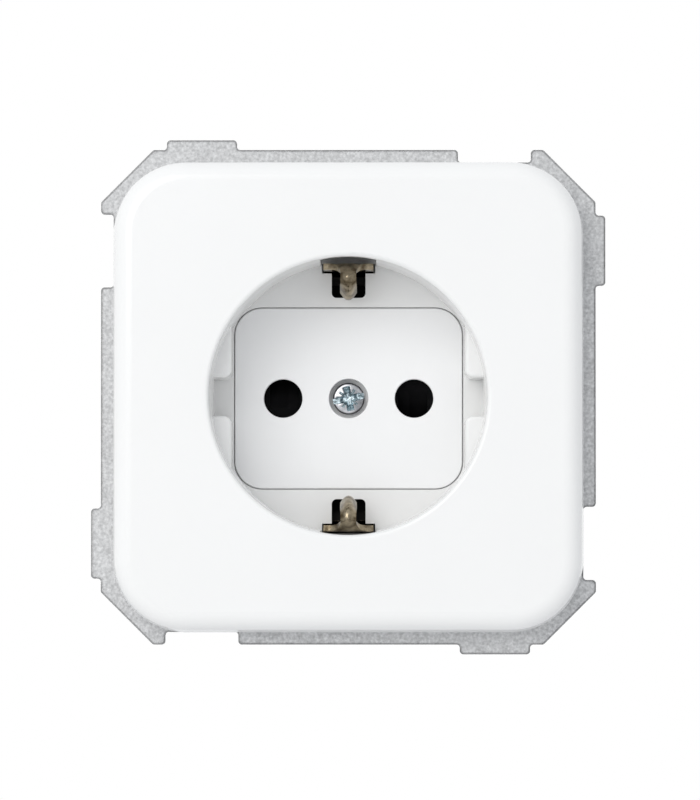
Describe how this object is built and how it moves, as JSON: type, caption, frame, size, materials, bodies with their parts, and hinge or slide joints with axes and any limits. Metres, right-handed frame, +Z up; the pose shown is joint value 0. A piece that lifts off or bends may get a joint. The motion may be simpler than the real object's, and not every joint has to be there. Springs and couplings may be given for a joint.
{
  "type": "type f wall socket",
  "caption": "Flush wall socket: glossy square cover with a round well, earth clips, shuttered pin holes, a stamped sheet frame and a deep base with screw terminals.",
  "frame": {"origin": "centre of the support frame's back face, the wall plane, on the axis of the round well", "axes": "+Z up, the front of the socket faces -Y, +Y goes into the wall"},
  "size_m": [0.0738, 0.04, 0.0738],
  "materials": {
    "cover_white": "glossy moulded",
    "insert_white": "matt moulded",
    "shutter_black": "satin moulded",
    "tray_black": "matt moulded",
    "base_grey": "fine eroded texture",
    "frame_zinc": "galvanised with a fine spangle",
    "screw_zinc": "bright zinc plated",
    "spring_steel": "drawn wire",
    "clip_nickel": "nickel plated, warm tone",
    "contact_brass": "rolled"
  },
  "bodies": {
    "socket": {"cover": "cover_white", "face_insert": "insert_white", "centre_screw": "screw_zinc", "shutter_spring": "spring_steel", "contact_cover": "tray_black", "base_housing": "base_grey", "support_frame": "frame_zinc", "frame_screws": "screw_zinc", "earth_bracket": "clip_nickel", "centre_bush": "contact_brass", "earth_terminal_plate": "contact_brass", "strap_rivet": "contact_brass", "line_contact": "contact_brass", "neutral_contact": "contact_brass", "line_clamp": "screw_zinc", "neutral_clamp": "screw_zinc", "earth_clamp": "screw_zinc", "line_terminal_screw": "screw_zinc", "neutral_terminal_screw": "screw_zinc", "earth_terminal_screw": "screw_zinc"},
    "shutter": {"shutter": "shutter_black"}
  },
  "joints": [
    {"name": "shutter_turn", "type": "hinge", "parent": "socket", "child": "shutter", "pos_m": [0, 0.0115, 0], "axis": [0, -1, 0], "range_deg": [0, 33], "stiffness_Nm_per_rad": 0.002, "springref_deg": -20.05, "deforming": ["shutter_spring"]}
  ]
}
